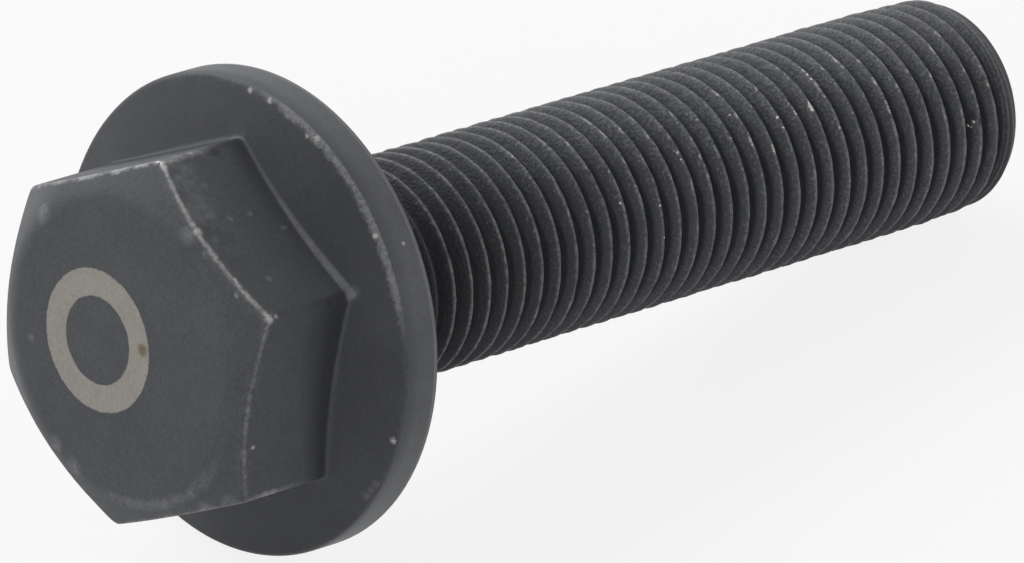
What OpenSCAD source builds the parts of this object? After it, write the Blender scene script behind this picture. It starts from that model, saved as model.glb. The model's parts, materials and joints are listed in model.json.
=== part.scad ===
// Hexagon flange screw that clamps a brake disc to its hub.
// The head is forged and the thread rolled on one steel blank, so the screw is a single solid.
// It lies as it comes to rest, on the rim of its flange and the rounded end of its shank.
// The origin is the centre of the flange's bearing face, on the screw's axis, and +X runs towards the tip.

/* [Shank] */
// Outer diameter of the thread, drawn as a plain cylinder
thread_d = 14; // [10:0.5:18]
// Length from the bearing face to the end of the tip
shank_len = 60; // [30:1:120]
// Radius that rounds the end of the tip
tip_r = 1.8; // [0.8:0.1:3]
// Length of the plain neck between the head and the thread
neck_len = 2.5; // [1:0.1:6]
// How far the neck lies below the outside of the thread
neck_depth = 0.5; // [0.2:0.05:0.8]
// Radius of the fillet between the neck and the bearing face
neck_fillet = 0.6; // [0.3:0.1:0.9]

/* [Flange] */
// Outer diameter of the flange
flange_d = 29.9; // [27:0.1:40]
// Height of the upright rim, from the bearing face to the edge of the cone
rim_h = 2.6; // [1.6:0.1:4]
// Slope of the cone that rises from the rim to the hexagon
cone_angle = 24; // [12:1:30]
// Radius that rounds the edge between the rim and the cone
rim_cone_r = 0.4; // [0.2:0.05:0.6]
// Radius that rounds the edge between the rim and the bearing face
rim_face_r = 0.4; // [0.2:0.05:0.6]

/* [Hexagon] */
// Width across the flats, which is the spanner size
across_flats = 21; // [17:0.5:22]
// Height of the head from the bearing face to its top
head_h = 12; // [9:0.1:16]
// Slope of the chamfer that rounds off the top of the hexagon
chamfer_angle = 32; // [15:1:40]
// How far the edge of the round top face lies inside the flats
top_inset = 0.75; // [0.1:0.05:1.5]
// How much is rounded off each upright corner
corner_cut = 0.12; // [0.05:0.01:0.4]
// Turn of the hexagon about the axis, from a corner pointing straight down
hexagon_turn = 2.3; // [0:0.1:60]

/* [Hidden] */
$fn = 96;

// Radii from the axis
thread_rad = thread_d / 2;
neck_rad = thread_rad - neck_depth;
flange_rad = flange_d / 2;
flat_rad = across_flats / 2;
top_rad = flat_rad - top_inset;
hex_rad = flat_rad / cos(30);
corner_rad = hex_rad - corner_cut;

// The cone runs on a little way under the hexagon, so that the two solids join without a seam
cone_run_in = 1;
cone_top_rad = flat_rad - cone_run_in;
cone_top_z = -rim_h - (flange_rad - cone_top_rad) * tan(cone_angle);

// Where the rounding of the rim's upper edge meets the rim and the cone
rim_cone_tangent = rim_cone_r * tan((90 - cone_angle) / 2);

// Bottom of the chamfer at the rounded corners
chamfer_z = -head_h + (corner_rad - top_rad) * tan(chamfer_angle);

// The surface below touches the rounded edges of the rim and the tip,
// so the axis dips towards the tip by the slope of the line that both arcs share
rest_drop = (flange_rad - rim_face_r) - (thread_rad - tip_r);
rest_run = (shank_len - tip_r) + rim_face_r;
rest_tilt = atan2(rest_drop, rest_run) + asin((rim_face_r - tip_r) / norm([rest_drop, rest_run]));

// Half section of the shank, with the radius along X and the distance from the bearing face along Y
module shank_section() {
    thread_start = neck_len + neck_depth;
    tip_start = shank_len - tip_r;
    square([neck_rad, tip_start]);
    polygon([
        [0, neck_len],
        [neck_rad, neck_len],
        [thread_rad, thread_start],
        [thread_rad, tip_start],
        [thread_rad - tip_r, shank_len],
        [0, shank_len]
    ]);
    translate([thread_rad - tip_r, tip_start])
        circle(r = tip_r);
    difference() {
        square([neck_rad + neck_fillet, neck_fillet]);
        translate([neck_rad + neck_fillet, neck_fillet])
            circle(r = neck_fillet);
    }
}

// Half section of the flange: bearing face, rounded rim and cone
module flange_section() {
    polygon([
        [0, 0],
        [flange_rad - rim_face_r, 0],
        [flange_rad, -rim_face_r],
        [flange_rad, -rim_h + rim_cone_tangent],
        [flange_rad - rim_cone_tangent * cos(cone_angle), -rim_h - rim_cone_tangent * sin(cone_angle)],
        [cone_top_rad, cone_top_z],
        [0, cone_top_z]
    ]);
    translate([flange_rad - rim_face_r, -rim_face_r])
        circle(r = rim_face_r);
    translate([flange_rad - rim_cone_r, -rim_h + rim_cone_tangent])
        circle(r = rim_cone_r);
}

// Half section of the round blank that the hexagon is pressed from, chamfered at the top
module blank_section() {
    polygon([
        [0, 0],
        [corner_rad, 0],
        [corner_rad, chamfer_z],
        [top_rad, -head_h],
        [0, -head_h]
    ]);
}

// Hexagon with rounded corners, where the chamfer leaves a curved edge on each flat
module hexagon() {
    intersection() {
        rotate_extrude()
            blank_section();
        rotate([0, 0, hexagon_turn])
            translate([0, 0, -head_h])
                cylinder(r = hex_rad, h = head_h, $fn = 6);
    }
}

// The whole screw, modelled tip upwards and then laid down at its resting tilt
module flange_screw() {
    color([0.27, 0.28, 0.30])
        rotate([0, 90 + rest_tilt, 0])
            union() {
                rotate_extrude()
                    shank_section();
                rotate_extrude()
                    flange_section();
                hexagon();
            }
}

flange_screw();
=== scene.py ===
import json
import math

import bpy
from bpy.props import FloatProperty, FloatVectorProperty, PointerProperty
from mathutils import Euler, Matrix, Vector, noise


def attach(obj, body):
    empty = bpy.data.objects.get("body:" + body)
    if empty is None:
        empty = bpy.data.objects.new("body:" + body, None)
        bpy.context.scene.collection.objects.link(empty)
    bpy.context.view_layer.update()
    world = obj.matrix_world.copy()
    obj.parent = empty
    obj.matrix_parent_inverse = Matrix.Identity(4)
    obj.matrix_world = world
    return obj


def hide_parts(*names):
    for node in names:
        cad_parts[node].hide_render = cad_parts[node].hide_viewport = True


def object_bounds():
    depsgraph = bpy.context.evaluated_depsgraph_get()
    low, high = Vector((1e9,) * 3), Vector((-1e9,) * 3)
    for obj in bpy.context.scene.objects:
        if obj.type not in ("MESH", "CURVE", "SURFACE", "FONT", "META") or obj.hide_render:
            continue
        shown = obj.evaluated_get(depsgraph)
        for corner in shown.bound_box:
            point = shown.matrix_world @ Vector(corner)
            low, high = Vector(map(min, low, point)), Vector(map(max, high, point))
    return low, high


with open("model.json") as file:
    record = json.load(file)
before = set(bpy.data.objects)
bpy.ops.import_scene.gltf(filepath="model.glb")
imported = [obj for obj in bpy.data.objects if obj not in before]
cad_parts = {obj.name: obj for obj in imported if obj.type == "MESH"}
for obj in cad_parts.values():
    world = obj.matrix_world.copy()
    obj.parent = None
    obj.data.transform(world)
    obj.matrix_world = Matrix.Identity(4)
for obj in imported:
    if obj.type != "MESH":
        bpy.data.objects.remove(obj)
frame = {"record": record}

bl_info = {
    "name": "Hexagon Flange Screw",
    "version": (1, 0, 0),
    "blender": (4, 5, 0),
    "location": "View3D > Sidebar > Screw",
    "description": "Makes a worn, dark coated hexagon flange screw and a pale stage for it",
    "category": "Mesh",
}

MM = 0.001
CAD_BOX = [list(corner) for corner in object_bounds()]
FLOOR_HEIGHT = CAD_BOX[0][2]

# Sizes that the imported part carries
MOUNTS = {mount["name"]: mount for mount in frame["record"]["mounts"]}
AXIS = Vector(MOUNTS["thread"]["axis"]).normalized()
THREAD_RADIUS = MOUNTS["thread"]["dims"]["r_mm"] * MM
THREAD_LENGTH = MOUNTS["thread"]["dims"]["length_mm"] * MM
THREAD_MIDDLE = Vector(MOUNTS["thread"]["pos_m"]).length
HEAD_HEIGHT = Vector(MOUNTS["hexagon"]["pos_m"]).length
FLANGE_DIAMETER = CAD_BOX[1][1] - CAD_BOX[0][1]
REST_TILT = math.asin(-AXIS.z)
TIP_RADIUS = 1.8 * MM
SHANK_LENGTH = THREAD_MIDDLE + THREAD_LENGTH / 2 + TIP_RADIUS

# Points round the axis; a multiple of 12, so that each corner and each flat has the same share
SEGMENTS = 132

# Shares of a whole turn
SIXTH = math.tau / 6
TWELFTH = math.tau / 12

SCREW_NAME = "coated_screw"


class ScrewSizes(bpy.types.PropertyGroup):
    """Sizes of the screw"""

    thread_diameter: FloatProperty(
        name="Thread diameter", description="Outer diameter of the thread",
        default=2 * THREAD_RADIUS, unit="LENGTH")
    thread_pitch: FloatProperty(
        name="Pitch", description="Distance from one thread crest to the next",
        default=1.5 * MM, unit="LENGTH")
    thread_depth: FloatProperty(
        name="Thread depth", description="Depth of the groove below the crests",
        default=0.92 * MM, unit="LENGTH")
    thread_phase: FloatProperty(
        name="Thread phase",
        description="Height of a crest above the bearing face, at a corner of the hexagon",
        default=0.65 * MM, unit="LENGTH")
    shank_length: FloatProperty(
        name="Shank length", description="Length from the bearing face to the tip",
        default=SHANK_LENGTH, unit="LENGTH")
    tip_radius: FloatProperty(
        name="Tip radius", description="Rounding of the end of the tip",
        default=TIP_RADIUS, unit="LENGTH")
    tip_taper: FloatProperty(
        name="Tip taper", description="How much smaller the last turns are at the tip",
        default=0.15 * MM, unit="LENGTH")
    neck_length: FloatProperty(
        name="Neck length", description="Plain length between the head and the thread",
        default=2.5 * MM, unit="LENGTH")
    neck_depth: FloatProperty(
        name="Neck depth", description="How far the neck lies below the crests",
        default=0.5 * MM, unit="LENGTH")
    neck_fillet: FloatProperty(
        name="Neck fillet", description="Rounding between the neck and the bearing face",
        default=0.6 * MM, unit="LENGTH")
    flange_diameter: FloatProperty(
        name="Flange diameter", description="Outer diameter of the flange",
        default=FLANGE_DIAMETER, unit="LENGTH")
    rim_height: FloatProperty(
        name="Rim height", description="Height of the flange's upright rim",
        default=2.6 * MM, unit="LENGTH")
    rim_round: FloatProperty(
        name="Rim rounding", description="Rounding of the rim's edge to the cone",
        default=0.4 * MM, unit="LENGTH")
    face_round: FloatProperty(
        name="Face rounding", description="Rounding of the rim's edge to the bearing face",
        default=0.3 * MM, unit="LENGTH")
    cone_angle: FloatProperty(
        name="Cone angle", description="Slope of the flange's cone",
        default=math.radians(24), subtype="ANGLE")
    foot_angle: FloatProperty(
        name="Foot angle", description="Slope of the cone where it meets the hexagon",
        default=math.radians(16), subtype="ANGLE")
    across_flats: FloatProperty(
        name="Across flats", description="Spanner size of the hexagon",
        default=21 * MM, unit="LENGTH")
    head_height: FloatProperty(
        name="Head height", description="Height of the head above the bearing face",
        default=HEAD_HEIGHT, unit="LENGTH")
    chamfer_angle: FloatProperty(
        name="Chamfer angle", description="Slope of the chamfer round the top face",
        default=math.radians(30), subtype="ANGLE")
    top_inset: FloatProperty(
        name="Top inset", description="How far the round top face lies inside the flats",
        default=1.0 * MM, unit="LENGTH")
    corner_cut: FloatProperty(
        name="Corner cut", description="How much is rounded off each upright corner",
        default=0.12 * MM, unit="LENGTH")
    hexagon_turn: FloatProperty(
        name="Hexagon turn", description="Turn of the hexagon about the axis",
        default=math.radians(2.3), subtype="ANGLE")
    rest_tilt: FloatProperty(
        name="Rest tilt", description="How far the axis dips towards the tip as the screw lies",
        default=REST_TILT, subtype="ANGLE")


class ScrewFinish(bpy.types.PropertyGroup):
    """Colours, wear and painted light and shade of the screw"""

    coat: FloatVectorProperty(
        name="Coat", description="Colour of the dark coating",
        default=(0.076, 0.079, 0.087), min=0, max=1, subtype="COLOR")
    # Pale colour for the rubbed coating, also used for painted light
    coat_rubbed_and_lit: FloatVectorProperty(
        name="Thin coat", description="Colour of the coating where it is rubbed thin",
        default=(0.215, 0.220, 0.230), min=0, max=1, subtype="COLOR")
    # Dark colour for painted shade in corners, grooves and by the flange, and for the dark spots
    coat_shade_and_dirt: FloatVectorProperty(
        name="Deep coat", description="Colour of the coating in corners and grooves",
        default=(0.020, 0.021, 0.023), min=0, max=1, subtype="COLOR")
    steel: FloatVectorProperty(
        name="Bare steel", description="Colour of the steel where the coating has gone",
        default=(0.48, 0.48, 0.47), min=0, max=1, subtype="COLOR")
    # Near-white nicks: bare steel, brightened to a painted highlight where they catch the light
    bright: FloatVectorProperty(
        name="Bright steel", description="Colour of fresh nicks in the thread's crests",
        default=(0.95, 0.95, 0.93), min=0, max=1, subtype="COLOR")
    mark: FloatVectorProperty(
        name="Etched mark", description="Colour of the pale ring on the top face",
        default=(0.40, 0.38, 0.34), min=0, max=1, subtype="COLOR")
    rust: FloatVectorProperty(
        name="Rust", description="Colour of the small rust spot",
        default=(0.16, 0.12, 0.05), min=0, max=1, subtype="COLOR")


class StageSettings(bpy.types.PropertyGroup):
    """Floor, camera and lamps"""

    floor_colour: FloatVectorProperty(
        name="Floor", description="Colour of the floor",
        default=(0.86, 0.86, 0.86), min=0, max=1, subtype="COLOR")
    floor_reach: FloatProperty(
        name="Floor reach", description="Width of the floor",
        default=6.0, unit="LENGTH")
    camera_place: FloatVectorProperty(
        name="Camera place", description="Where the camera stands",
        default=(-0.49605914, -0.52671916, 0.39620866), unit="LENGTH")
    camera_back: FloatVectorProperty(
        name="Camera back", description="Direction from the screw to the camera",
        default=(-0.61490306, -0.62658656, 0.47883558), subtype="DIRECTION")
    camera_lens: FloatProperty(
        name="Lens", description="Focal length in millimetres on a 36 mm sensor",
        default=481.53, unit="CAMERA")
    key_watts: FloatProperty(
        name="Key lamp", description="Power of the main lamp above the left side",
        default=8.2, unit="POWER")
    tip_watts: FloatProperty(
        name="Tip lamp", description="Power of the lamp above the tip",
        default=1.1, unit="POWER")
    right_watts: FloatProperty(
        name="Right lamp", description="Power of the lamp on the right side",
        default=0.95, unit="POWER")
    front_watts: FloatProperty(
        name="Front lamp", description="Power of the low lamp in front of the head",
        default=1.9, unit="POWER")
    lamp_width: FloatProperty(
        name="Lamp width", description="Diameter of each lamp",
        default=0.7, unit="LENGTH")
    sky_strength: FloatProperty(
        name="Sky", description="Strength of the even white light from all round",
        default=0.15, min=0, max=1, subtype="FACTOR")
    floor_glow: FloatProperty(
        name="Floor glow", description="Share of plain white in the floor as it is seen",
        default=0.85, min=0, max=1, subtype="FACTOR")


class Value:
    """A value in a node tree; arithmetic on it adds Math nodes."""

    def __init__(self, nodes, socket):
        self.nodes = nodes
        self.socket = socket

    def math(self, operation, *others):
        sockets = dict(enumerate((self, *others)))
        return self.nodes.add("ShaderNodeMath", {"operation": operation}, sockets)

    def flipped(self, operation, other):
        return self.nodes.add("ShaderNodeMath", {"operation": operation}, {0: other, 1: self})

    def __add__(self, other):
        return self.math("ADD", other)

    def __radd__(self, other):
        return self.flipped("ADD", other)

    def __sub__(self, other):
        return self.math("SUBTRACT", other)

    def __rsub__(self, other):
        return self.flipped("SUBTRACT", other)

    def __mul__(self, other):
        return self.math("MULTIPLY", other)

    def __rmul__(self, other):
        return self.flipped("MULTIPLY", other)

    def __truediv__(self, other):
        return self.math("DIVIDE", other)

    def __rtruediv__(self, other):
        return self.flipped("DIVIDE", other)

    def __abs__(self):
        return self.math("ABSOLUTE")

    def lowest(self, other):
        return self.math("MINIMUM", other)

    def highest(self, other):
        return self.math("MAXIMUM", other)

    def clamped(self):
        return self.math("MAXIMUM", 0.0).math("MINIMUM", 1.0)

    def ramp(self, start, end):
        """0 at start and 1 at end, eased, whichever of the two is larger."""
        sockets = {0: self, 1: start, 2: end, 3: 0.0, 4: 1.0}
        return self.nodes.add("ShaderNodeMapRange", {"interpolation_type": "SMOOTHSTEP"}, sockets)


class Nodes:
    """Builds one node tree."""

    def __init__(self, owner):
        owner.use_nodes = True
        self.tree = owner.node_tree
        self.tree.nodes.clear()

    def add(self, kind, settings=None, sockets=None, output=0):
        node = self.tree.nodes.new(kind)
        for name, value in (settings or {}).items():
            setattr(node, name, value)
        for name, value in (sockets or {}).items():
            if isinstance(value, Value):
                self.tree.links.new(value.socket, node.inputs[name])
            else:
                node.inputs[name].default_value = value
        if not node.outputs:
            return None
        return Value(self, node.outputs[output])

    def blend(self, amount, colour_a, colour_b):
        """Mixes two colours by a value."""
        settings = {"data_type": "RGBA", "clamp_factor": True}
        return self.add("ShaderNodeMix", settings, {0: amount, 6: colour_a, 7: colour_b}, output=2)

    def grain(self, place, scale, detail, roughness=0.55):
        """Noise from 0 to 1, about 0.5 on average; scale is in features a millimetre."""
        sockets = {"Vector": place, "Scale": scale, "Detail": detail, "Roughness": roughness}
        return self.add("ShaderNodeTexNoise", {"noise_dimensions": "3D"}, sockets)

    def vectors(self, operation, first, second, output=0):
        """Maths on two vectors."""
        sockets = {0: first, 1: second}
        return self.add("ShaderNodeVectorMath", {"operation": operation}, sockets, output)

    def distance(self, place, point):
        """Distance from a point."""
        return self.vectors("DISTANCE", place, point, output="Value")


def colour(values):
    return (*values, 1.0)


def deselect_all():
    if bpy.context.mode != "OBJECT":
        bpy.ops.object.mode_set(mode="OBJECT")
    bpy.ops.object.select_all(action="DESELECT")


def pick(piece):
    """Makes a piece the only selected and the active one."""
    deselect_all()
    piece.select_set(True)
    bpy.context.view_layer.objects.active = piece


def select_vertices(piece, wanted):
    """Selects the vertices of a piece whose number is wanted, and stays in edit mode."""
    bpy.ops.object.mode_set(mode="EDIT")
    bpy.ops.mesh.select_mode(type="VERT")
    bpy.ops.mesh.select_all(action="DESELECT")
    bpy.ops.object.mode_set(mode="OBJECT")
    for vertex in piece.data.vertices:
        vertex.select = vertex.index in wanted
    bpy.ops.object.mode_set(mode="EDIT")


def smooth_lower(first, second, width):
    """The lower of two numbers, with a rounded change from one to the other."""
    share = min(max(0.5 + 0.5 * (second - first) / width, 0.0), 1.0)
    return second + (first - second) * share - width * share * (1 - share)


def ease(value, start, end):
    """0 at start and 1 at end, eased."""
    share = min(max((value - start) / (end - start), 0.0), 1.0)
    return share * share * (3 - 2 * share)


def unevenness(angle, frequency, seed):
    """Smooth noise from about -1 to 1 that closes on itself round the axis."""
    place = Vector((math.cos(angle) * frequency, math.sin(angle) * frequency, seed))
    return noise.noise(place)


def rounded_corner(before, place, after, cut, steps):
    """Points on the arc that rounds off a corner, which starts and ends at the cut's distance from it."""
    back = (before - place).normalized()
    onward = (after - place).normalized()
    half = back.angle(onward) / 2
    centre = place + (back + onward).normalized() * (cut / math.cos(half))
    first = place + back * cut - centre
    last = place + onward * cut - centre
    sweep = first.angle(last)
    points = []
    for step in range(steps + 1):
        share = step / steps
        arm = first * math.sin((1 - share) * sweep) + last * math.sin(share * sweep)
        points.append(centre + arm / math.sin(sweep))
    return points


def rounded_outline(corners):
    """Points along an outline; each corner has its place, its cut and its steps."""
    points = [corners[0][0]]
    for before, corner, after in zip(corners, corners[1:], corners[2:]):
        place, cut, (run_steps, arc_steps) = corner
        arc = rounded_corner(before[0], place, after[0], cut, arc_steps)
        start = points[-1]
        points += [start.lerp(arc[0], step / run_steps) for step in range(1, run_steps)]
        points += arc
    start = points[-1]
    end, _, (run_steps, _) = corners[-1]
    points += [start.lerp(end, step / run_steps) for step in range(1, run_steps + 1)]
    return points


def spoke_of(place):
    """Number of the spoke that a point lies on, counted round the axis."""
    return round(math.atan2(place.y, place.x) / math.tau * SEGMENTS) % SEGMENTS


# Steps along the head's outline: on the run up to each corner, then on the arc that rounds it
LAND_STEPS = (9, 5)
EDGE_STEPS = (5, 6)
FOOT_STEPS = (14, 8)
CONE_STEPS = (9, 6)
FACE_STEPS = (5, 7)
FILLET_STEPS = (7, 7)
NECK_STEPS = (4, 0)

# Last ring of points on the fillet at the foot of the flats
FOOT_RING = sum(LAND_STEPS + EDGE_STEPS + FOOT_STEPS)

# How strongly points crowd to the corners of the hexagon, and over how many rings that fades
CROWDING = 0.8
CROWD_FADE = 12

# Radius of the round hole in the middle of the blank's top, which is filled last
HUB_RADIUS = 0.35 * MM

# How widely the hexagon's upright corners are rounded
CORNER_BLEND = 0.1 * MM


def head_outline(sizes, angle):
    """Half section of the head at an angle from a corner of the hexagon, from its top to the neck."""
    flat = sizes.across_flats / 2
    land = flat - sizes.top_inset
    corner = flat / math.cos(TWELFTH) - sizes.corner_cut
    off_flat = (angle % SIXTH) - TWELFTH
    reach = smooth_lower(flat / math.cos(off_flat), corner, CORNER_BLEND)
    flange = sizes.flange_diameter / 2
    neck = sizes.thread_diameter / 2 - sizes.neck_depth
    top = -sizes.head_height
    edge = top + (reach - land) * math.tan(sizes.chamfer_angle)
    foot = -sizes.rim_height - (flange - corner) * math.tan(sizes.cone_angle)
    base = foot - (corner - reach) * math.tan(sizes.foot_angle)
    rim_cut = sizes.rim_round * math.tan(math.pi / 4 - sizes.cone_angle / 2)

    # The edges are rounded a little unevenly
    land_cut = (0.62 + 0.12 * unevenness(angle, 2.3, 1.0)) * MM
    edge_cut = (0.13 + 0.06 * unevenness(angle, 9.0, 5.0)) * MM
    cone_cut = rim_cut * (1.2 + 0.35 * unevenness(angle, 4.0, 13.0))
    # The fillet at the foot of each flat grows from one corner to the next
    along_flat = (angle % SIXTH) / SIXTH
    foot_cut = (0.16 + 0.20 * ease(along_flat, 0.1, 0.8) * (1 - ease(along_flat, 0.86, 1.0))) * MM
    return rounded_outline([
        (Vector((HUB_RADIUS, top)), 0, (0, 0)),
        (Vector((land, top)), land_cut, LAND_STEPS),
        (Vector((reach, edge)), edge_cut, EDGE_STEPS),
        (Vector((reach, base)), foot_cut, FOOT_STEPS),
        (Vector((flange, -sizes.rim_height)), cone_cut, CONE_STEPS),
        (Vector((flange, 0.0)), sizes.face_round, FACE_STEPS),
        (Vector((neck, 0.0)), sizes.neck_fillet, FILLET_STEPS),
        (Vector((neck, sizes.neck_length)), 0, NECK_STEPS),
    ])


def crowd_to_corners(angle, share):
    """Moves an angle towards the nearest corner of the hexagon, so that the corners get more points."""
    return angle - share * math.sin(6 * angle) / 6


class SCREW_OT_forge_head(bpy.types.Operator):
    """Forge the head: a round blank with its flange, then pressed to a hexagon"""

    bl_idname = "screw.forge_head"
    bl_label = "Forge the head"

    def execute(self, context):
        sizes = context.scene.screw_sizes
        blank = head_outline(sizes, TWELFTH)
        deselect_all()
        bpy.ops.mesh.primitive_circle_add(
            vertices=SEGMENTS, radius=blank[0].x, fill_type="NGON", location=(0, 0, blank[0].y))
        bpy.ops.object.transform_apply(location=True, rotation=True, scale=True)
        head = context.object
        head.name = "head"
        bpy.ops.object.mode_set(mode="EDIT")
        bpy.ops.mesh.select_mode(type="EDGE")
        bpy.ops.mesh.select_all(action="SELECT")
        bpy.ops.mesh.delete(type="ONLY_FACE")
        bpy.ops.mesh.select_all(action="SELECT")
        for start, end in zip(blank, blank[1:]):
            bpy.ops.mesh.extrude_edges_move(TRANSFORM_OT_translate={"value": (0, 0, end.y - start.y)})
            widen = end.x / start.x
            bpy.ops.transform.resize(value=(widen, widen, 1), center_override=(0, 0, end.y))
        select_vertices(head, set(range(SEGMENTS)))
        bpy.ops.mesh.edge_face_add()
        bpy.ops.mesh.poke()
        bpy.ops.object.mode_set(mode="OBJECT")
        self.press(head, sizes, len(blank))
        return {"FINISHED"}

    def press(self, head, sizes, rings):
        """Moves every ring of the blank to the outline that the head has at its angle."""
        outlines = {}
        for vertex in head.data.vertices:
            ring = vertex.index // SEGMENTS
            if ring >= rings:
                continue
            spoke = spoke_of(vertex.co)
            crowd = CROWDING * ease(ring, 0, LAND_STEPS[0])
            crowd *= 1 - ease(ring, FOOT_RING, FOOT_RING + CROWD_FADE)
            angle = crowd_to_corners(math.tau * spoke / SEGMENTS, crowd)
            key = (spoke, round(crowd, 6))
            if key not in outlines:
                outlines[key] = head_outline(sizes, angle)
            place = outlines[key][ring]
            vertex.co = (place.x * math.cos(angle), place.x * math.sin(angle), place.y)


# Points of the groove from a crest down towards its root, as shares of the pitch
HALF_GROOVE = (0.0, 0.056, 0.1, 0.18, 0.29, 0.385, 0.44)

# How widely the groove's edges and its root are rounded
CREST_BLEND = 0.17 * MM
ROOT_BLEND = 0.20 * MM

# Length over which the groove grows to its full depth after the neck
RUN_IN = 6.5 * MM

# Lengths before and after the start of the tip's rounding, where the groove fades and the thread tapers
RUN_OUT_BEFORE = 0.7 * MM
RUN_OUT_AFTER = 1.5 * MM
TAPER_BEFORE = 5.0 * MM
TAPER_AFTER = 0.5 * MM

# The end face takes a quarter of its own radius along the thread's path, because it needs few points
END_SHARE = 0.25

# Knocks on the crests: height above the bearing face, degrees from a corner of the hexagon, depth;
# these lengths and the reach are in millimetres
BRUISES = (
    (42.0, 217.8, 0.16), (40.6, 218.0, 0.14), (55.6, 250.5, 0.22), (34.7, 225.0, 0.10),
    (30.0, 223.0, 0.14), (27.2, 245.0, 0.12), (27.3, 261.5, 0.10), (19.0, 150.0, 0.14),
    (35.2, 62.0, 0.15), (50.3, 20.0, 0.12), (24.4, 330.0, 0.13),
)
BRUISE_REACH = 0.55


def groove_depth(share, sizes):
    """Depth below the crest at a share of the pitch: flat crest, 60 degree flanks and a rounded root."""
    pitch = sizes.thread_pitch
    off_crest = min(share, 1 - share) * pitch
    flank = (off_crest - pitch / 16) * math.tan(math.pi / 3)
    crest = -smooth_lower(-flank, 0.0, CREST_BLEND)
    return smooth_lower(crest, sizes.thread_depth, ROOT_BLEND)


class SCREW_OT_roll_thread(bpy.types.Operator):
    """Roll the thread: one groove wound along the shank, run out at the neck and folded over the tip"""

    bl_idname = "screw.roll_thread"
    bl_label = "Roll the thread"

    def execute(self, context):
        sizes = context.scene.screw_sizes
        radius = sizes.thread_diameter / 2
        pitch = sizes.thread_pitch
        first = sizes.thread_phase - pitch
        rising = [1 - share for share in reversed(HALF_GROOVE)]
        profile = []
        for share in (*HALF_GROOVE, 0.5, *rising):
            profile.append(Vector((radius - groove_depth(share, sizes), 0, first + share * pitch)))
        deselect_all()
        bpy.ops.mesh.primitive_plane_add(size=pitch)
        shank = context.object
        shank.name = "shank"
        bpy.ops.object.mode_set(mode="EDIT")
        bpy.ops.mesh.select_all(action="SELECT")
        bpy.ops.mesh.merge(type="CENTER")
        bpy.ops.transform.translate(value=profile[0])
        for start, end in zip(profile, profile[1:]):
            bpy.ops.mesh.extrude_vertices_move(TRANSFORM_OT_translate={"value": end - start})
        bpy.ops.object.mode_set(mode="OBJECT")
        wind = shank.modifiers.new("Wind", "SCREW")
        wind.axis = "Z"
        wind.angle = math.tau
        wind.screw_offset = pitch
        wind.iterations = math.ceil((self.path_length(sizes) - first) / pitch) + 1
        wind.steps = SEGMENTS
        wind.render_steps = SEGMENTS
        wind.use_merge_vertices = True
        wind.merge_threshold = 0.001 * MM
        bpy.ops.object.modifier_apply(modifier=wind.name)
        for vertex in shank.data.vertices:
            vertex.co = self.folded(vertex.co, sizes)
        return {"FINISHED"}

    def path_length(self, sizes):
        """Length of the path along the shank, over the rounded tip and in to the middle of its end."""
        radius = sizes.thread_diameter / 2
        arc = sizes.tip_radius * math.pi / 2
        return sizes.shank_length - sizes.tip_radius + arc + (radius - sizes.tip_radius) * END_SHARE

    def roughness(self, place):
        """Uneven depth that the rolling leaves, in metres, at a place in millimetres."""
        return (0.04 + 0.04 * noise.noise(place * 0.9) + 0.03 * noise.noise(place * 2.1)) * MM

    def bruise(self, along, angle, sizes):
        """Depth to which a knock has flattened the crest at this place."""
        deepest = 0.0
        for height, turn, depth in BRUISES:
            around = math.remainder(angle - math.radians(turn), math.tau) * sizes.thread_diameter / 2
            off = math.hypot(along / MM - height, around / MM) / BRUISE_REACH
            if off < 1:
                deepest = max(deepest, depth * MM * (1 - off * off))
        return deepest

    def folded(self, place, sizes):
        """Where a point of the endless thread lies on the screw."""
        radius = sizes.thread_diameter / 2
        neck = radius - sizes.neck_depth
        along = place.z
        angle = math.tau * spoke_of(place) / SEGMENTS
        straight = sizes.shank_length - sizes.tip_radius
        face = straight + sizes.tip_radius * math.pi / 2
        run_in = ease(along, sizes.neck_length, sizes.neck_length + RUN_IN)
        run_out = 1 - ease(along, straight - RUN_OUT_BEFORE, straight + RUN_OUT_AFTER)
        rolled = Vector((math.cos(angle) * radius, math.sin(angle) * radius, along)) / MM
        depth = radius - math.hypot(place.x, place.y) + self.roughness(rolled)
        depth = max(depth * run_out, self.bruise(along, angle, sizes))
        outer = radius - sizes.tip_taper * ease(along, straight - TAPER_BEFORE, straight + TAPER_AFTER)
        if along <= sizes.neck_length:
            reach = neck
            height = sizes.neck_length
        elif along <= straight:
            reach = neck + (outer - depth - neck) * run_in
            height = along
        elif along <= face:
            bend = (along - straight) / sizes.tip_radius
            reach = outer - sizes.tip_radius + (sizes.tip_radius - depth) * math.cos(bend)
            height = straight + (sizes.tip_radius - depth) * math.sin(bend)
        else:
            inwards = (along - face) / END_SHARE
            reach = max(outer - sizes.tip_radius - inwards, 0.0)
            height = sizes.shank_length
        return Vector((reach * math.cos(angle), reach * math.sin(angle), height))


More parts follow.
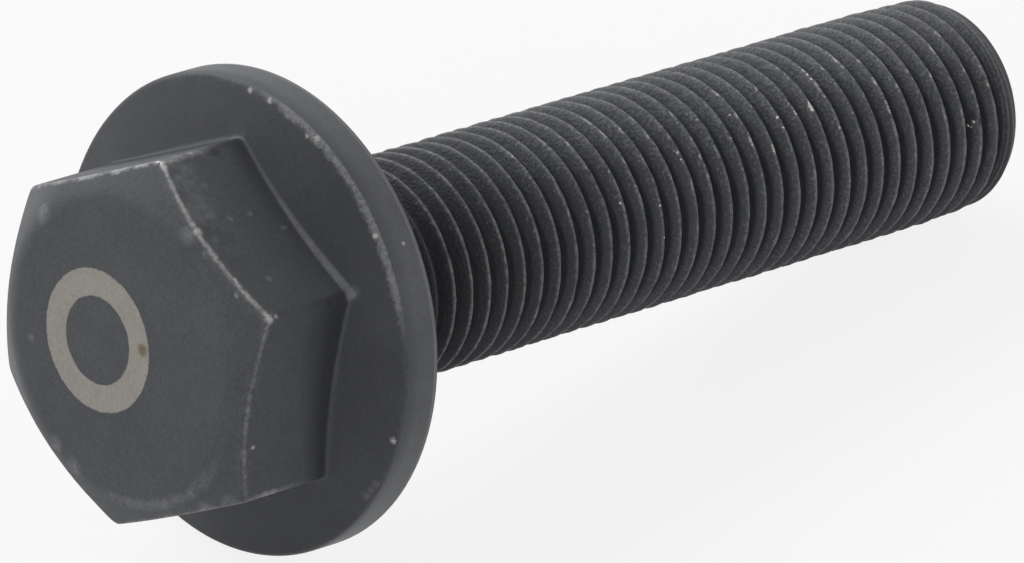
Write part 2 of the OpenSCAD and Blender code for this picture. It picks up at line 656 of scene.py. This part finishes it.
class SCREW_OT_finish(bpy.types.Operator):
    """Weld the head to the shank, lay the screw down and coat it"""

    bl_idname = "screw.finish"
    bl_label = "Weld, lay down and coat"

    def execute(self, context):
        sizes = context.scene.screw_sizes
        head = bpy.data.objects["head"]
        shank = bpy.data.objects["shank"]
        pick(head)
        shank.select_set(True)
        bpy.ops.object.join()
        screw = context.object
        screw.name = SCREW_NAME
        screw.data.name = SCREW_NAME
        bpy.ops.object.mode_set(mode="EDIT")
        bpy.ops.mesh.select_mode(type="VERT")
        bpy.ops.mesh.select_all(action="SELECT")
        bpy.ops.mesh.remove_doubles(threshold=0.002 * MM)
        bpy.ops.mesh.normals_make_consistent(inside=False)
        bpy.ops.mesh.select_all(action="DESELECT")
        bpy.ops.mesh.select_non_manifold()
        bpy.ops.object.mode_set(mode="OBJECT")
        loose = sum(vertex.select for vertex in screw.data.vertices)
        if loose:
            raise RuntimeError(f"the screw isn't closed: {loose} points lie on open edges")
        for turn in ((0, 0, sizes.hexagon_turn), (0, math.pi / 2 + sizes.rest_tilt, 0)):
            screw.rotation_euler = turn
            bpy.ops.object.transform_apply(location=False, rotation=True, scale=False)
        bpy.ops.object.shade_smooth_by_angle(angle=math.radians(40))
        even = screw.modifiers.new("Even shading", "WEIGHTED_NORMAL")
        even.keep_sharp = True
        bpy.ops.object.modifier_apply(modifier=even.name)
        screw.data.materials.clear()
        screw.data.materials.append(coated_steel(sizes, context.scene.screw_finish))
        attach(screw, "root")
        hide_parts("flange_screw")
        return {"FINISHED"}


# Height of the grain that the bump shows
GRAIN_HEIGHT = 0.022 * MM

# Places in the screw's own frame, in millimetres: a corner of the hexagon along X, the tip along Z.
# Each has the reach of the mark as its last number.
BRIGHT_CHIPS = (
    (-11.9, -0.4, -10.6, 0.24), (-12.0, 0.0, -8.1, 0.16), (-9.5, -4.5, -11.35, 0.34),
    (-9.8, -4.0, -11.4, 0.24), (-8.5, -6.2, -11.3, 0.16), (-7.6, -7.8, -11.1, 0.18),
    (-6.9, -8.3, -11.4, 0.20), (-6.0, -10.4, -10.5, 0.30), (-6.1, -10.45, -9.95, 0.20),
    (-5.5, -10.5, -10.75, 0.18), (-14.6, 0.9, -2.8, 0.20), (-14.6, -0.8, -2.8, 0.20),
    (-13.8, -5.0, -2.7, 0.24), (-13.7, -4.3, -2.8, 0.16), (-9.8, -10.8, -2.8, 0.20),
    (-9.3, -11.7, -1.2, 0.14), (2.2, -14.4, -2.8, 0.24), (2.35, -14.3, -2.95, 0.18),
    (2.4, -10.5, -10.6, 0.16), (4.9, 9.1, -11.6, 0.14), (12.0, 0.0, -9.7, 0.14),
)
CREST_NICKS = (
    (-5.4, -4.2, 42.1, 0.20), (-5.55, -4.05, 42.1, 0.14), (-5.3, -4.4, 42.05, 0.14),
    (-5.3, -4.4, 40.65, 0.14), (-5.45, -4.2, 40.7, 0.15), (-5.6, -4.05, 40.7, 0.12),
    (-4.15, -5.55, 43.6, 0.07), (-1.4, -6.8, 45.3, 0.08), (-4.95, -4.9, 39.05, 0.11),
    (-5.4, -4.35, 39.0, 0.11), (-5.15, -4.65, 34.65, 0.09), (-5.85, -3.25, 35.8, 0.08),
    (-4.85, -4.9, 30.0, 0.08), (-5.15, -4.55, 30.0, 0.11), (-3.65, -5.85, 24.0, 0.09),
    (-2.9, -6.25, 27.2, 0.10), (-0.95, -6.8, 27.35, 0.10), (-1.8, -6.0, 55.2, 0.09),
    (-2.1, -6.25, 55.4, 0.10), (-1.75, -6.2, 55.3, 0.07), (-6.55, -2.4, 43.45, 0.11),
    (-6.4, -2.75, 43.45, 0.09),
)
FAINT_CHIPS = (
    (-9.6, -4.4, -7.0, 0.30), (-11.65, -0.8, -9.25, 0.32), (-10.9, -2.1, -8.8, 0.36),
    (-9.65, -4.3, -8.55, 0.30), (-9.1, -5.2, -10.55, 0.30), (-8.8, -5.7, -5.3, 0.28),
    (-7.35, -8.3, -8.75, 0.28), (-9.2, -4.1, -11.75, 0.75), (-8.6, -5.6, -11.7, 0.35),
    (2.4, 7.5, -12.0, 0.30), (-5.7, 8.0, -11.9, 0.90), (6.5, -9.6, -10.8, 0.80),
    (-6.2, -10.6, -3.85, 0.55), (-11.9, 0.5, -4.05, 0.40), (-6.05, -10.3, -10.5, 0.60),
    (9.1, 2.7, -12.0, 0.80), (8.3, 4.4, -12.0, 0.70), (7.4, -7.9, -11.3, 0.60),
    (-5.4, -4.25, 57.05, 0.35), (-4.75, -4.95, 57.1, 0.35), (-11.6, 0.9, -9.7, 0.40),
    (-11.7, 0.7, -8.8, 0.35), (-11.3, 1.4, -9.3, 0.35), (-4.05, -5.55, 57.1, 0.30),
    (5.5, -13.45, -2.75, 0.40), (6.0, -13.2, -2.8, 0.35), (6.5, -12.9, -2.8, 0.40),
)
DARK_SPOTS = (
    (-12.0, -0.3, -6.5, 0.60), (-12.0, 0.0, -4.6, 0.70), (-5.9, -10.45, -5.6, 0.50),
    (-5.5, -10.5, -4.6, 0.80), (7.2, -8.9, -4.4, 0.6), (-2.5, -6.0, 55.35, 0.45),
)


def strongest(first, *others):
    """The highest of some values at each place."""
    for other in others:
        first = first.highest(other)
    return first


def nearest(nodes, place, spots):
    """Distance to the nearest of some spots, in reaches of that spot."""
    closest = None
    for *point, reach in spots:
        away = nodes.distance(place, point) * (1 / reach)
        closest = away if closest is None else closest.lowest(away)
    return closest


class Place:
    """A point on the screw as its material sees it, in millimetres in the screw's own frame."""

    # How much the outlines of the chips are shaken
    SHAKE = 0.26

    def __init__(self, nodes, sizes):
        self.own = nodes.add("ShaderNodeMapping", {"vector_type": "POINT"}, {
            "Vector": nodes.add("ShaderNodeTexCoord", output="Object"),
            "Rotation": Euler((0, -(math.pi / 2 + sizes.rest_tilt), -sizes.hexagon_turn)),
            "Scale": (1 / MM, 1 / MM, 1 / MM),
        })
        self.across, self.aside, self.along = [
            nodes.add("ShaderNodeSeparateXYZ", sockets={0: self.own}, output=axis) for axis in "XYZ"]
        self.radius = (self.across * self.across + self.aside * self.aside).math("SQRT")
        self.fine = nodes.grain(self.own, 5.2, detail=1.0)
        self.speck = nodes.grain(self.own, 2.6, detail=2.0, roughness=0.6)
        self.patch = nodes.grain(self.own, 0.55, detail=2.0)
        self.broad = nodes.grain(self.own, 0.16, detail=1.0)
        self.ragged = self.shaken(nodes)
        self.measure_head(sizes)
        self.measure_thread(sizes)

    def shaken(self, nodes):
        """A shaken copy of the place, which gives the chips ragged outlines."""
        sockets = {"Vector": self.own, "Scale": 5.0, "Detail": 1.0}
        shake = nodes.add("ShaderNodeTexNoise", {"noise_dimensions": "3D"}, sockets, output="Color")
        shake = nodes.vectors("SUBTRACT", shake, (0.5, 0.5, 0.5))
        shake = nodes.vectors("MULTIPLY", shake, (self.SHAKE, self.SHAKE, self.SHAKE))
        return nodes.vectors("ADD", self.own, shake)

    def facing(self, degrees):
        """How far the place lies along a direction square to the axis, given from a corner."""
        turn = math.radians(degrees)
        return self.across * math.cos(turn) + self.aside * math.sin(turn)

    def towards(self, degrees, start, end):
        """Mask of the side that faces a direction; start and end are cosines of the angle off it."""
        return (self.facing(degrees) / self.radius).ramp(start, end)

    def measure_head(self, sizes):
        """Distances to the head's edges, and masks of its faces."""
        along = self.along
        radius = self.radius
        flat = sizes.across_flats / 2 / MM
        flange = sizes.flange_diameter / 2 / MM
        rim = -sizes.rim_height / MM
        slope = math.tan(sizes.chamfer_angle)
        fall = math.tan(sizes.cone_angle)
        foot_fall = math.tan(sizes.foot_angle)
        self.land = flat - sizes.top_inset / MM
        self.top = -sizes.head_height / MM
        self.corner = flat / math.cos(TWELFTH) - sizes.corner_cut / MM

        across_flat = strongest(abs(self.facing(30)), abs(self.aside), abs(self.facing(150)))
        off_flat = across_flat - flat
        self.off_top = along - self.top
        self.above_edge = along - (self.top + (radius - self.land) * slope)
        self.chamfer_edge = (off_flat * off_flat + self.above_edge * self.above_edge).math("SQRT")
        outer_cone = rim - (flange - radius) * fall
        inner_cone = (rim - (flange - self.corner) * fall) - (self.corner - radius) * foot_fall
        self.above_cone = outer_cone.highest(inner_cone) - along
        self.fold = (off_flat * off_flat + self.above_cone * self.above_cone).math("SQRT")
        self.inward = (flange - radius) * (1 / math.cos(sizes.cone_angle))

        self.on_top = self.off_top.ramp(0.12, 0.04)
        self.on_side = abs(off_flat).ramp(0.32, 0.14) * self.above_cone.ramp(0.05, 0.3)
        self.on_cone = along.ramp(rim + 0.12, rim - 0.02) * radius.ramp(flange - 2.15, flange - 1.55)
        self.on_rim = radius.ramp(flange - 0.25, flange - 0.08) * along.ramp(rim - 0.1, rim + 0.15)
        self.wide = self.towards(205, 0.45, 0.85)
        self.strong = self.towards(216, 0.76, 0.93)

        # Each side of the hexagon was knocked about differently
        self.on_left, self.on_upper, self.on_lower, self.on_bottom = [
            (self.facing(degrees) - across_flat).ramp(-0.5, -0.1) for degrees in (150, 210, 270, 330)]
        self.along_upper = self.facing(300).ramp(-6.5, 6.0)
        self.along_lower = self.across.ramp(-6.0, 6.0)

    def measure_thread(self, sizes):
        """Depth below the thread's crests, and masks of the thread and the tip."""
        along = self.along
        radius = self.radius
        straight = (sizes.shank_length - sizes.tip_radius) / MM
        neck = sizes.neck_length / MM
        self.depth = sizes.thread_depth / MM
        tapering = along.ramp(straight - TAPER_BEFORE / MM, straight + TAPER_AFTER / MM)
        crest = sizes.thread_diameter / 2 / MM
        self.below_crest = crest - radius - tapering * (sizes.tip_taper / MM)
        self.on_thread = along.ramp(neck + 0.1, neck + 0.9) * along.ramp(straight + 0.8, straight)
        self.on_tip = along.ramp(straight - 0.6, straight + 0.4)
        self.off_end = along.ramp(sizes.shank_length / MM, straight + 1.2)
        on_crests = along.ramp(neck + 4.9, neck + 6.9) * (1 - self.on_tip)
        self.crest_line = self.below_crest.ramp(0.15, 0.06) * on_crests
        # Upper part of the flanks below the crests, which is painted paler as painted light
        self.shoulder = self.below_crest.ramp(self.depth * 0.42, self.depth * 0.12) * self.on_thread
        self.lit_side = self.towards(214, 0.80, 0.97)
        self.upper_side = self.towards(175, 0.45, 0.98)
        self.under_side = self.towards(275, 0.60, 0.95)


def hexagon_wear_and_painted_light(at):
    """Where the hexagon is rubbed thin, and where its steel shows: soft lines with beads on the edges,
    and a painted highlight on one side of the chamfer.
    """
    speck = at.speck
    patch = at.patch
    wander = (patch * 1.3 - 0.45 + (speck - 0.5) * 0.9).highest(0.0)
    beads = (0.72 + (speck - 0.5) * 1.5 + (at.fine - 0.5) * 0.5).clamped()
    gaps = (patch * 2.6 + speck * 0.8 - 1.1).clamped()

    # Curved edges between the chamfer and the flats
    line_reach = 0.20 + wander * (0.05 + at.on_upper * 0.08 + at.on_left * 0.20)
    line = ((line_reach - at.chamfer_edge) / 0.17).clamped()
    broken = at.on_lower * 0.36 + at.on_bottom * 0.34 + at.on_left * 0.38
    line = line * (0.05 + at.on_upper * 0.62 + at.on_left * 0.14 + broken * gaps) * beads
    halo = at.chamfer_edge.ramp(0.55, 0.10) * at.on_upper * (0.10 + wander * 0.35)
    smear = (at.on_left * 0.3 + wander * 1.5 + speck - 0.5).clamped() * (0.22 + at.on_left * 0.50)
    smear = smear * at.chamfer_edge.ramp(0.8 - at.on_left * 0.45, 0.05)

    # Upright corners, two of which were knocked
    to_left = abs(at.facing(180) - at.corner)
    to_right = abs(at.facing(300) - at.corner)
    upright = ((0.10 + wander * 0.07 - to_left.lowest(to_right + 0.02)) / 0.09).clamped()
    upright = upright * at.on_side.highest(at.above_edge.ramp(-0.2, 0.0))
    upright = upright * at.above_cone.ramp(1.8, 4.5) * beads * (0.25 + gaps * 0.45)

    # The edge of the round top, a painted highlight on the side of the chamfer towards the key lamp, and
    # the upper flat
    land_band = abs(at.radius - (at.land + 0.1)).ramp(0.60, 0.05) * at.off_top.ramp(0.6, 0.3)
    low_arc = at.towards(328, 0.78, 0.92)
    smudge = land_band * (patch * 1.8 + speck * 0.9 - 0.85).clamped() * (0.10 + low_arc * 1.1)
    painted_chamfer_light = at.above_edge.ramp(0.25, 0.1) * at.radius.ramp(at.land - 0.1, at.land + 1.7)
    painted_chamfer_light = painted_chamfer_light * at.towards(88, 0.50, 0.93)
    cloud = at.on_side * at.on_upper * at.above_edge.ramp(4.5, 0.5) * at.along_upper.ramp(0.9, 0.2)
    cloud = cloud * (patch * 2.4 + speck * 1.2 - 1.55).clamped()

    rubbed = strongest(line, halo, smear, upright, smudge * 0.75, painted_chamfer_light * 0.42, cloud * 0.6)
    steel = (line * 0.8).highest(upright * 0.35)
    return rubbed, steel


def flange_wear_and_painted_light(at):
    """Where the flange is rubbed thin, and where its steel shows: a ribbon along the edge of its cone;
    also a painted highlight on the rim's lower side and along the fold.
    """
    speck = at.speck
    patch = at.patch
    ribbon_reach = 0.44 + at.strong * 0.26 + (patch - 0.5) * 0.45 + (speck - 0.5) * 0.40
    ribbon = ((ribbon_reach - at.inward) / 0.30).clamped() * at.on_cone
    ribbon = ribbon * (0.12 + at.wide * 0.22 + at.strong * 0.62)
    ribbon = ribbon * (0.82 + (speck - 0.5) + (at.fine - 0.5) * 0.4).clamped()
    rim = at.on_rim * (0.20 + at.strong * 0.07 + patch * 0.2)
    # Painted light: the rim paler on its lower side, where light comes up from the floor
    rim = rim + at.on_rim * at.towards(335, 0.4, 1.0) * 0.45
    back_line = at.on_rim * abs(at.along + 0.34).ramp(0.18, 0.05) * (0.5 + patch * 0.8)

    # A pale line along the fold where the cone meets the flats: dust, and a painted highlight where the
    # fillet catches the light
    fold_reach = 0.16 + at.on_upper * at.along_upper * 0.24
    fold_line = ((fold_reach - at.fold) / 0.18).clamped() * (0.6 + speck * 0.8)
    fold_line = fold_line * (0.20 + at.on_upper * (0.20 + at.along_upper * 0.32))

    rubbed = strongest(ribbon, rim, back_line, fold_line)
    steel = ribbon * ribbon * 0.14
    return rubbed, steel


def thread_wear_and_painted_light(nodes, at):
    """Where the thread is rubbed thin, and where its steel shows: on the crests, with glints; the glints,
    the pale crests, the paler upper flanks and the grains on the lit side are partly painted light.
    """
    fine = at.fine
    patch = at.patch
    near_head = at.along.ramp(34.0, 10.0)
    crest_rub = 0.02 + near_head * (1 - at.upper_side * 0.5) * 0.08
    crest_rub = at.crest_line * (crest_rub + (patch - 0.5) * 0.3 + (at.speck - 0.5) * 0.6)
    # Pale crests: rubbed coating, and a painted highlight that is stronger on the under side, where the
    # crest edges catch the light
    crest_rub_and_highlight = 0.25 - at.upper_side * 0.04 + at.under_side * (0.2 + at.along.ramp(30.0, 55.0) * 0.2)

    # Glints in short streaks round the crests, on the lit side only: bare steel specks with a painted
    # highlight
    squeezed = nodes.vectors("MULTIPLY", at.own, (1.0, 1.0, 3.0))
    streak = nodes.grain(squeezed, 1.1, detail=1.0)
    painted_glint = at.crest_line * at.lit_side * ((streak - 0.54) * 5.0 + (fine - 0.5) * 2.5).clamped()
    painted_glint = painted_glint * (0.25 + at.along.ramp(10.0, 32.0) * 0.55)

    # Pale grains on the flanks of the thread, stronger on the lit side as painted light, and lines round
    # the tip
    grains = ((fine - 0.58) * 5.0).clamped() * at.on_thread
    grains = grains * at.below_crest.ramp(at.depth * 0.6, at.depth * 0.3) * (0.22 + at.lit_side * 0.38)
    sockets = {"W": at.along + at.radius, "Scale": 5.0, "Detail": 2.0}
    turns = nodes.add("ShaderNodeTexNoise", {"noise_dimensions": "1D"}, sockets)
    tip_lines = ((turns - 0.52) * 5.0).clamped() * at.on_tip * (0.3 + patch)

    # Paleness: rubbed crests, and painted light on the crests, the upper flanks and the lit-side grains
    rubbed = strongest(at.crest_line * crest_rub_and_highlight, at.shoulder * 0.12, grains, tip_lines * 0.8)
    # Bare steel on the crests, with the painted glints
    steel = crest_rub.highest(painted_glint)
    return rubbed, steel


def painted_shade_and_darkening(at):
    """Painted shade at the foot of the flats, over the cone, the flats and the top, in the thread's
    grooves and on the turns by the flange; and darkening round the tip.
    """
    # Painted shade where the flats meet the cone, across the cone beside them, and a little over the
    # flats and the top
    foot_reach = 1.6 + at.on_upper * 0.4 + at.on_left * 2.4 + at.on_lower * (2.6 - at.along_lower * 2.0)
    foot = ((foot_reach - at.above_cone) / (foot_reach * 0.72)).clamped() * at.on_side
    upper_foot = at.on_upper * (0.14 - at.along_upper * 0.26)
    foot = foot * (0.36 + upper_foot + at.on_left * 0.35 + at.on_lower * 0.42)
    cone_shade = at.on_cone.highest(at.fold.ramp(0.1, 0.3) * at.above_cone.ramp(0.3, 0.1))
    cone_shade = cone_shade * at.inward.ramp(0.2, 0.9) * at.wide
    cone_shade = cone_shade * (1 - at.on_side) * at.along.ramp(-1.0, -2.4)
    cone_foot_shade = at.above_cone.ramp(0.3, 0.05) * at.along.ramp(-1.5, -2.4)
    head = strongest(foot, cone_shade * 0.42, cone_foot_shade * 0.33, at.on_side * 0.10, at.on_top * 0.05)

    # Painted shade in the grooves, narrower on the lit side, and a painted shadow of the flange over the
    # turns beside it, all but their crests
    groove_start = at.lit_side * 0.18 + at.depth * 0.36
    groove_end = at.lit_side * 0.20 + at.depth * 0.74
    groove = at.below_crest.ramp(groove_start, groove_end) * at.on_thread * (1 - at.upper_side * 0.35)
    first_turns = at.along.ramp(30.0, 4.0) * at.along.ramp(0.1, 0.8) * (1 - at.crest_line)
    # Darker round the end of the tip, most on one side
    tip_darkening = at.on_tip * at.off_end * (0.22 + at.towards(300, 0.0, 0.9) * 0.35)
    return strongest(head, groove * 0.92, first_turns * 0.75, tip_darkening)


def marked_top(nodes, at, finish, shade):
    """The shade with a plain pale ring on the top face and a small rust spot."""
    ring_middle = (0.26, 1.96, at.top)
    ring_radius = 3.6
    rust_middle = (-0.7, -1.85, at.top)
    off_ring = nodes.distance(at.own, ring_middle) + (at.speck - 0.5) * 0.10 + (at.fine - 0.5) * 0.08
    ring = abs(off_ring - ring_radius).ramp(0.90, 0.80) * at.on_top
    dull = colour([value * 0.82 for value in finish.mark])
    ring_shade = nodes.blend((at.fine * 0.7 + at.patch * 0.3).ramp(0.25, 0.75), colour(finish.mark), dull)
    shade = nodes.blend(ring * 0.97, shade, ring_shade)
    rust = nodes.distance(at.ragged, rust_middle).ramp(0.55, 0.20) * at.on_top
    return nodes.blend(rust * 0.8, shade, colour(finish.rust))


def coated_steel(sizes, finish):
    """The dark coating, rubbed thin or down to the steel on the edges, with painted light and shade on
    it.
    """
    material = bpy.data.materials.new("coated_steel_worn")
    nodes = Nodes(material)
    at = Place(nodes, sizes)
    # Noise that swings about 0
    fine = at.fine - 0.5
    speck = at.speck - 0.5
    patch = at.patch - 0.5

    hexagon_rubbed_and_lit, hexagon_steel = hexagon_wear_and_painted_light(at)
    flange_rubbed_and_lit, flange_steel = flange_wear_and_painted_light(at)
    thread_rubbed_and_lit, thread_steel_and_glint = thread_wear_and_painted_light(nodes, at)
    chips = nearest(nodes, at.ragged, BRIGHT_CHIPS).ramp(1.3, 0.3) * (0.12 + at.speck)
    nicks = nearest(nodes, at.ragged, CREST_NICKS).ramp(1.2, 0.45) * (0.45 + at.speck)
    faint = nearest(nodes, at.ragged, FAINT_CHIPS).ramp(1.2, 0.1)
    faint = faint * (at.speck * 1.8 + at.patch * 0.8 - 0.60).clamped()
    dark = nearest(nodes, at.ragged, DARK_SPOTS).ramp(1.1, 0.4)

    steel = strongest(chips, hexagon_steel, flange_steel, thread_steel_and_glint).clamped()
    # Paleness from wear, with the painted light of each part mixed in
    rubbed = strongest(hexagon_rubbed_and_lit, flange_rubbed_and_lit, thread_rubbed_and_lit, faint * 0.7)
    # Painted light: the upper flanks paler on the upper side of the thread
    rubbed = rubbed + at.upper_side * at.shoulder * 0.12
    # Painted shade, with the real dark spots
    shade_and_dirt = painted_shade_and_darkening(at).highest(dark * 0.75)

    grit = fine * (1.0 + at.on_thread * 2.3) + speck * (0.6 + at.on_thread * 1.4)
    mottle = (at.broad - 0.5) * 0.7 + patch * 0.5 + grit
    # Painted light: the thread paler towards the tip, out of the flange's shadow, and darker except on
    # its upper side
    painted_light_along = at.along.ramp(20.0, 58.0) * 0.14 - at.on_thread * (1 - at.upper_side) * 0.17
    thin = (rubbed + mottle * 0.30 + 0.10 + painted_light_along).clamped()
    shade = nodes.blend(thin, colour(finish.coat), colour(finish.coat_rubbed_and_lit))
    shade = nodes.blend(shade_and_dirt * (1 - rubbed * 0.8), shade, colour(finish.coat_shade_and_dirt))
    shade = nodes.blend(steel, shade, colour(finish.steel))
    # Nicks in near white: bare steel with a painted highlight
    shade = nodes.blend(nicks, shade, colour(finish.bright))
    shade = marked_top(nodes, at, finish, shade)

    rough = 0.60 + fine * 0.22 + patch * 0.14 - rubbed * 0.08 - steel * 0.16
    height = speck * (0.5 + at.on_thread * 1.0) + fine * (0.35 + at.on_thread * 1.25) + at.patch * 0.8
    bump = nodes.add("ShaderNodeBump", sockets={
        "Strength": 1.0, "Distance": GRAIN_HEIGHT, "Height": height})
    surface = nodes.add("ShaderNodeBsdfPrincipled", sockets={
        "Base Color": shade, "Roughness": rough.clamped(), "Metallic": steel * 0.6, "Normal": bump,
        "IOR": 1.5, "Specular IOR Level": 0.2})
    nodes.add("ShaderNodeOutputMaterial", sockets={"Surface": surface})
    return material


# Each lamp's name, the setting that holds its power and the direction that it hangs in
LAMPS = (
    ("key_lamp", "key_watts", (-0.15, 0.75, 0.65)),
    ("tip_lamp", "tip_watts", (0.75, 0.00, 0.66)),
    ("right_lamp", "right_watts", (0.05, -0.90, 0.43)),
    ("front_lamp", "front_watts", (-0.80, -0.55, 0.20)),
)
# Point on the screw that the lamps shine at
LAMP_AIM = Vector((0.02, 0, 0))


class SCREW_OT_stage(bpy.types.Operator):
    """Set the pale floor, the soft lamps and the camera"""

    bl_idname = "screw.stage"
    bl_label = "Set the stage"

    def execute(self, context):
        stage = context.scene.screw_stage
        context.scene.view_settings.view_transform = "Standard"
        self.lay_floor(stage)
        self.light_sky(context.scene, stage)
        for name, watts, direction in LAMPS:
            self.hang_lamp(name, getattr(stage, watts), stage.lamp_width, direction)
        self.set_camera(context.scene, stage)
        return {"FINISHED"}

    def seen_rays(self, nodes):
        """1 for rays that show a surface, and 0 for those that only gather light."""
        kinds = ("Is Camera Ray", "Is Glossy Ray", "Is Transmission Ray")
        return strongest(*[nodes.add("ShaderNodeLightPath", output=kind) for kind in kinds])

    def lay_floor(self, stage):
        deselect_all()
        bpy.ops.mesh.primitive_circle_add(
            vertices=96, radius=stage.floor_reach / 2, fill_type="NGON", location=(0, 0, FLOOR_HEIGHT))
        bpy.ops.object.transform_apply(location=True, rotation=True, scale=True)
        floor = bpy.context.object
        floor.name = "pale_floor"
        material = bpy.data.materials.new("pale_floor")
        nodes = Nodes(material)
        seen = self.seen_rays(nodes)
        lit = nodes.add("ShaderNodeBsdfPrincipled", sockets={
            "Base Color": colour(stage.floor_colour), "Roughness": 0.9, "Specular IOR Level": 0.1})
        white = nodes.add("ShaderNodeEmission", sockets={"Color": (1, 1, 1, 1), "Strength": 1.0})
        surface = nodes.add("ShaderNodeMixShader", sockets={0: seen * stage.floor_glow, 1: lit, 2: white})
        nodes.add("ShaderNodeOutputMaterial", sockets={"Surface": surface})
        floor.data.materials.append(material)

    def light_sky(self, scene, stage):
        world = bpy.data.worlds.new("white_sky")
        scene.world = world
        nodes = Nodes(world)
        seen = self.seen_rays(nodes)
        strength = seen * (1.0 - stage.sky_strength) + stage.sky_strength
        sockets = {"Color": (1, 1, 1, 1), "Strength": strength}
        background = nodes.add("ShaderNodeBackground", sockets=sockets)
        nodes.add("ShaderNodeOutputWorld", sockets={"Surface": background})

    def hang_lamp(self, name, watts, width, direction):
        """Hangs a round lamp a metre from the screw and turns it to face the screw."""
        data = bpy.data.lights.new(name, "AREA")
        data.shape = "DISK"
        data.size = width
        data.energy = watts
        lamp = bpy.data.objects.new(name, data)
        bpy.context.scene.collection.objects.link(lamp)
        away = Vector(direction).normalized()
        lamp.location = LAMP_AIM + away
        lamp.rotation_euler = (-away).to_track_quat("-Z", "Y").to_euler()

    def set_camera(self, scene, stage):
        data = bpy.data.cameras.new("camera")
        data.sensor_width = 36
        data.lens = stage.camera_lens
        data.clip_start = 0.01
        data.clip_end = 20
        camera = bpy.data.objects.new("camera", data)
        scene.collection.objects.link(camera)
        camera.location = stage.camera_place
        camera.rotation_euler = (-Vector(stage.camera_back)).to_track_quat("-Z", "Y").to_euler()
        scene.camera = camera


class SCREW_PT_panel(bpy.types.Panel):
    """Sizes, finish and stage of the screw"""

    bl_idname = "SCREW_PT_panel"
    bl_label = "Hexagon Flange Screw"
    bl_space_type = "VIEW_3D"
    bl_region_type = "UI"
    bl_category = "Screw"

    def draw(self, context):
        for group in (context.scene.screw_sizes, context.scene.screw_finish, context.scene.screw_stage):
            box = self.layout.box()
            for name in group.__annotations__:
                box.prop(group, name)
        for operator in OPERATORS:
            self.layout.operator(operator.bl_idname)


GROUPS = {"screw_sizes": ScrewSizes, "screw_finish": ScrewFinish, "screw_stage": StageSettings}
OPERATORS = (SCREW_OT_forge_head, SCREW_OT_roll_thread, SCREW_OT_finish, SCREW_OT_stage)
CLASSES = (*GROUPS.values(), *OPERATORS, SCREW_PT_panel)


def register():
    for item in CLASSES:
        bpy.utils.register_class(item)
    for name, group in GROUPS.items():
        setattr(bpy.types.Scene, name, PointerProperty(type=group))


def unregister():
    for name in GROUPS:
        delattr(bpy.types.Scene, name)
    for item in reversed(CLASSES):
        bpy.utils.unregister_class(item)


def main():
    register()
    bpy.ops.screw.forge_head()
    bpy.ops.screw.roll_thread()
    bpy.ops.screw.finish()
    bpy.ops.screw.stage()


if __name__ == "__main__":
    main()
